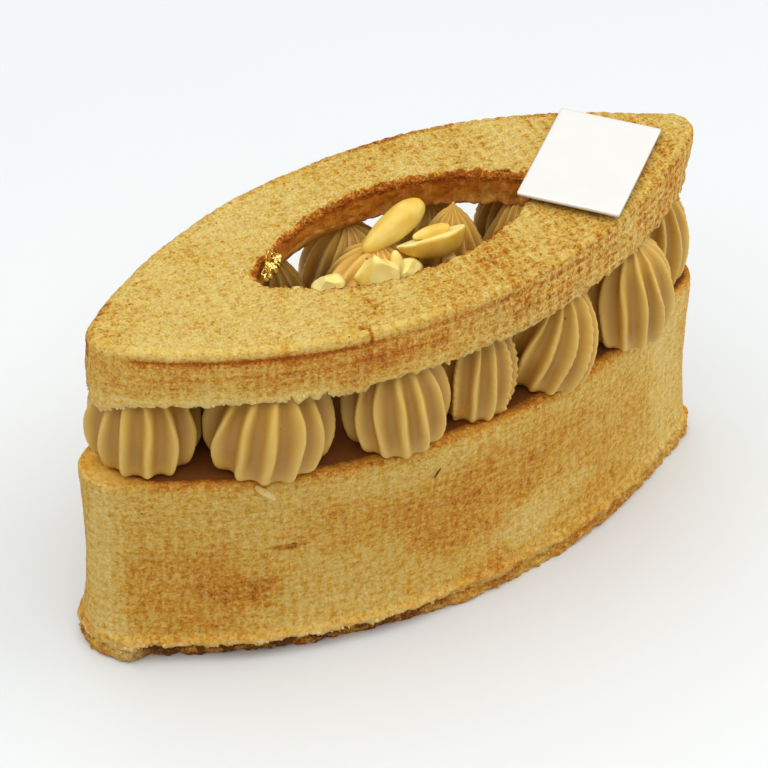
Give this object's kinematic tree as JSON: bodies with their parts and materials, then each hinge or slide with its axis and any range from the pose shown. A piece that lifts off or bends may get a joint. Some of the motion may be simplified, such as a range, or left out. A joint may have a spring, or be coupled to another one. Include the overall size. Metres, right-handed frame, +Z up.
{
  "type": "paris-brest",
  "caption": "Boat-shaped choux pastry: a tall baked base, ridged piped praline cream rosettes and a slab lid with a pointed-oval window, nuts and a small white chocolate plaque.",
  "frame": {"origin": "middle of the base's flat underside", "axes": "+Z up, +X along the boat towards the end that carries the plaque, -Y towards the long side with the best-shown rosettes"},
  "size_m": [0.1132, 0.0456, 0.0663],
  "materials": {
    "crust": "baked golden choux crust with orange-brown mottling and the fine print of a mesh baking mat",
    "cream": "satin caramel-tan praline cream",
    "nut": "pale blanched nut, slightly oily",
    "white_chocolate": "smooth ivory white chocolate"
  },
  "bodies": {
    "root": {"base": "crust", "lid": "crust", "plaque": "white_chocolate", "rosette_01": "cream", "rosette_02": "cream", "rosette_03": "cream", "rosette_04": "cream", "rosette_05": "cream", "rosette_06": "cream", "rosette_07": "cream", "rosette_08": "cream", "rosette_09": "cream", "rosette_10": "cream", "rosette_11": "cream", "rosette_12": "cream", "rosette_13": "cream", "rosette_14": "cream", "rosette_15": "cream", "rosette_16": "cream", "rosette_17": "cream", "rosette_18": "cream", "cream_tail": "cream", "nut_01": "nut", "nut_02": "nut", "nut_03": "nut", "nut_04": "nut", "nut_05": "nut", "nut_06": "nut", "nut_07": "nut", "nut_08": "nut"}
  },
  "joints": []
}
